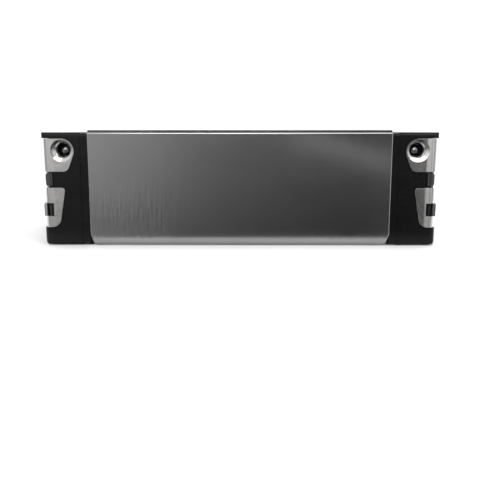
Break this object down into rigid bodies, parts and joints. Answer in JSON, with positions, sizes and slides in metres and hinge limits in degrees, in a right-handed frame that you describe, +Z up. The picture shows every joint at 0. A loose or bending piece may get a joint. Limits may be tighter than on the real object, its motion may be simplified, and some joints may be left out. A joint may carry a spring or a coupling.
{
  "type": "linear guide carriage",
  "caption": "Long slim block that slides along a profiled rail on recirculating ball circuits, with end caps, wiper seals, lube ports and a tapped top face.",
  "frame": {"origin": "middle of the bottom plane, under the middle of the carriage", "axes": "+X along the rail towards the front end, +Y across the rail to the left side, +Z up out of the mounting face"},
  "size_m": [0.139, 0.07, 0.0404],
  "materials": {
    "body_steel": "ground steel with fine machining lines, lightly oiled",
    "raceway_steel": "hardened and ground",
    "ball_steel": "polished bearing steel",
    "grey_plastic": "smooth moulded",
    "tube_plastic": "smooth moulded",
    "black_plastic": "fine moulded texture",
    "seal_rubber": "smooth moulded rubber",
    "felt": "oil-soaked felt",
    "sheet_steel": "bright stamped stainless sheet",
    "screw_steel": "bright zinc plated"
  },
  "bodies": {
    "carriage": {"runner_body": "body_steel", "raceway_upper_left": "raceway_steel", "raceway_lower_left": "raceway_steel", "raceway_upper_right": "raceway_steel", "raceway_lower_right": "raceway_steel", "upper_ball_retainer_left": "grey_plastic", "middle_ball_retainer_left": "grey_plastic", "lower_ball_retainer_left": "grey_plastic", "upper_ball_retainer_right": "grey_plastic", "middle_ball_retainer_right": "grey_plastic", "lower_ball_retainer_right": "grey_plastic", "side_seal_left": "seal_rubber", "side_seal_right": "seal_rubber", "return_tube_upper_left": "tube_plastic", "return_tube_lower_left": "tube_plastic", "return_tube_upper_right": "tube_plastic", "return_tube_lower_right": "tube_plastic", "base_plate_front": "black_plastic", "base_plate_rear": "black_plastic", "end_cap_front": "black_plastic", "end_cap_rear": "black_plastic", "turn_guide_front_left": "grey_plastic", "turn_guide_front_right": "grey_plastic", "turn_guide_rear_left": "grey_plastic", "turn_guide_rear_right": "grey_plastic", "lube_insert_front": "felt", "lube_insert_rear": "felt", "end_seal_front": "seal_rubber", "end_seal_rear": "seal_rubber", "threaded_plate_front": "sheet_steel", "threaded_plate_rear": "sheet_steel", "end_screws_front": "screw_steel", "end_screws_rear": "screw_steel", "port_plug_front": "screw_steel", "port_plug_rear": "screw_steel"},
    "load_balls_upper_left": {"load_balls_upper_left": "ball_steel"},
    "return_balls_upper_left": {"return_balls_upper_left": "ball_steel"},
    "front_turn_balls_upper_left": {"front_turn_balls_upper_left": "ball_steel"},
    "rear_turn_balls_upper_left": {"rear_turn_balls_upper_left": "ball_steel"},
    "load_balls_lower_left": {"load_balls_lower_left": "ball_steel"},
    "return_balls_lower_left": {"return_balls_lower_left": "ball_steel"},
    "front_turn_balls_lower_left": {"front_turn_balls_lower_left": "ball_steel"},
    "rear_turn_balls_lower_left": {"rear_turn_balls_lower_left": "ball_steel"},
    "load_balls_upper_right": {"load_balls_upper_right": "ball_steel"},
    "return_balls_upper_right": {"return_balls_upper_right": "ball_steel"},
    "front_turn_balls_upper_right": {"front_turn_balls_upper_right": "ball_steel"},
    "rear_turn_balls_upper_right": {"rear_turn_balls_upper_right": "ball_steel"},
    "load_balls_lower_right": {"load_balls_lower_right": "ball_steel"},
    "return_balls_lower_right": {"return_balls_lower_right": "ball_steel"},
    "front_turn_balls_lower_right": {"front_turn_balls_lower_right": "ball_steel"},
    "rear_turn_balls_lower_right": {"rear_turn_balls_lower_right": "ball_steel"}
  },
  "joints": [
    {"name": "load_row_upper_left", "type": "slide", "parent": "carriage", "child": "load_balls_upper_left", "axis": [1, 0, 0], "range_m": [-0.00325, 0.00325]},
    {"name": "return_row_upper_left", "type": "slide", "parent": "carriage", "child": "return_balls_upper_left", "axis": [1, 0, 0], "range_m": [-0.00325, 0.00325]},
    {"name": "front_turn_upper_left", "type": "hinge", "parent": "carriage", "child": "front_turn_balls_upper_left", "pos_m": [0.05275, 0.02073, 0.01689], "axis": [0, -0.309, 0.9511], "range_deg": [-28.88, 28.88]},
    {"name": "rear_turn_upper_left", "type": "hinge", "parent": "carriage", "child": "rear_turn_balls_upper_left", "pos_m": [-0.05275, 0.02073, 0.01689], "axis": [0, -0.309, 0.9511], "range_deg": [-28.88, 28.88]},
    {"name": "load_row_lower_left", "type": "slide", "parent": "carriage", "child": "load_balls_lower_left", "axis": [1, 0, 0], "range_m": [-0.00325, 0.00325]},
    {"name": "return_row_lower_left", "type": "slide", "parent": "carriage", "child": "return_balls_lower_left", "axis": [1, 0, 0], "range_m": [-0.00325, 0.00325]},
    {"name": "front_turn_lower_left", "type": "hinge", "parent": "carriage", "child": "front_turn_balls_lower_left", "pos_m": [0.05275, 0.02099, 0.006], "axis": [0, -0.1392, 0.9903], "range_deg": [-28.88, 28.88]},
    {"name": "rear_turn_lower_left", "type": "hinge", "parent": "carriage", "child": "rear_turn_balls_lower_left", "pos_m": [-0.05275, 0.02099, 0.006], "axis": [0, -0.1392, 0.9903], "range_deg": [-28.88, 28.88]},
    {"name": "load_row_upper_right", "type": "slide", "parent": "carriage", "child": "load_balls_upper_right", "axis": [1, 0, 0], "range_m": [-0.00325, 0.00325]},
    {"name": "return_row_upper_right", "type": "slide", "parent": "carriage", "child": "return_balls_upper_right", "axis": [1, 0, 0], "range_m": [-0.00325, 0.00325]},
    {"name": "front_turn_upper_right", "type": "hinge", "parent": "carriage", "child": "front_turn_balls_upper_right", "pos_m": [0.05275, -0.02073, 0.01689], "axis": [0, -0.309, -0.9511], "range_deg": [-28.88, 28.88]},
    {"name": "rear_turn_upper_right", "type": "hinge", "parent": "carriage", "child": "rear_turn_balls_upper_right", "pos_m": [-0.05275, -0.02073, 0.01689], "axis": [0, -0.309, -0.9511], "range_deg": [-28.88, 28.88]},
    {"name": "load_row_lower_right", "type": "slide", "parent": "carriage", "child": "load_balls_lower_right", "axis": [1, 0, 0], "range_m": [-0.00325, 0.00325]},
    {"name": "return_row_lower_right", "type": "slide", "parent": "carriage", "child": "return_balls_lower_right", "axis": [1, 0, 0], "range_m": [-0.00325, 0.00325]},
    {"name": "front_turn_lower_right", "type": "hinge", "parent": "carriage", "child": "front_turn_balls_lower_right", "pos_m": [0.05275, -0.02099, 0.006], "axis": [0, -0.1392, -0.9903], "range_deg": [-28.88, 28.88]},
    {"name": "rear_turn_lower_right", "type": "hinge", "parent": "carriage", "child": "rear_turn_balls_lower_right", "pos_m": [-0.05275, -0.02099, 0.006], "axis": [0, -0.1392, -0.9903], "range_deg": [-28.88, 28.88]}
  ],
  "couplings": [
    {"joint": "return_row_upper_left", "follows": "load_row_upper_left", "ratio": -1},
    {"joint": "front_turn_upper_left", "follows": "load_row_upper_left", "rad_per_m": 155.04},
    {"joint": "rear_turn_upper_left", "follows": "load_row_upper_left", "rad_per_m": 155.04},
    {"joint": "return_row_lower_left", "follows": "load_row_lower_left", "ratio": -1},
    {"joint": "front_turn_lower_left", "follows": "load_row_lower_left", "rad_per_m": 155.04},
    {"joint": "rear_turn_lower_left", "follows": "load_row_lower_left", "rad_per_m": 155.04},
    {"joint": "return_row_upper_right", "follows": "load_row_upper_right", "ratio": -1},
    {"joint": "front_turn_upper_right", "follows": "load_row_upper_right", "rad_per_m": 155.04},
    {"joint": "rear_turn_upper_right", "follows": "load_row_upper_right", "rad_per_m": 155.04},
    {"joint": "return_row_lower_right", "follows": "load_row_lower_right", "ratio": -1},
    {"joint": "front_turn_lower_right", "follows": "load_row_lower_right", "rad_per_m": 155.04},
    {"joint": "rear_turn_lower_right", "follows": "load_row_lower_right", "rad_per_m": 155.04}
  ]
}
